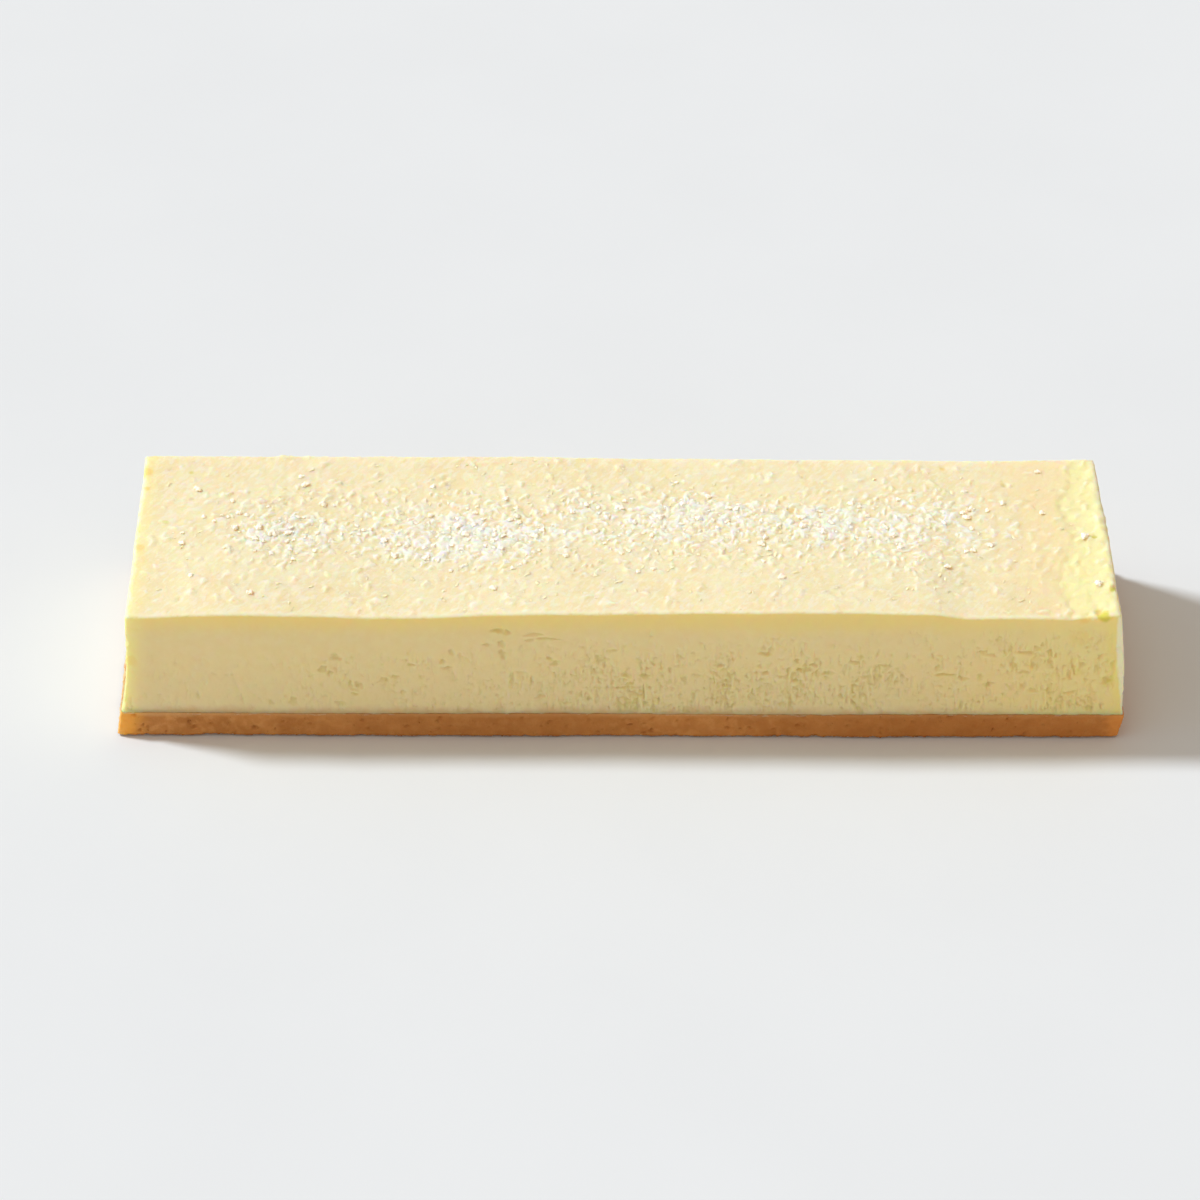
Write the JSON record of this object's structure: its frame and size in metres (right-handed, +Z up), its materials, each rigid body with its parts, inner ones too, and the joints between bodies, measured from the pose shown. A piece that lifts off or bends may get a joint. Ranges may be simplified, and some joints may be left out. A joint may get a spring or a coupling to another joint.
{
  "type": "cheesecake",
  "caption": "Bar-shaped baked cheesecake: a thick pale cheese layer on a pressed biscuit base, its top dusted with clumps of icing sugar.",
  "frame": {"origin": "middle of the underside of the biscuit base, on the surface that the cake rests on", "axes": "+X along the bar's length, -Y out of the front face, +Z up through the sugared top"},
  "size_m": [0.1998, 0.056, 0.031],
  "materials": {
    "baked_cheese": "smooth, moist, faintly glossy baked cream cheese with fine curd pits",
    "biscuit": "matte pressed biscuit crumb, golden brown",
    "icing_sugar": "dry matte white powder clumps"
  },
  "bodies": {
    "root": {"cheese_layer": "baked_cheese", "biscuit_base": "biscuit"}
  },
  "joints": []
}
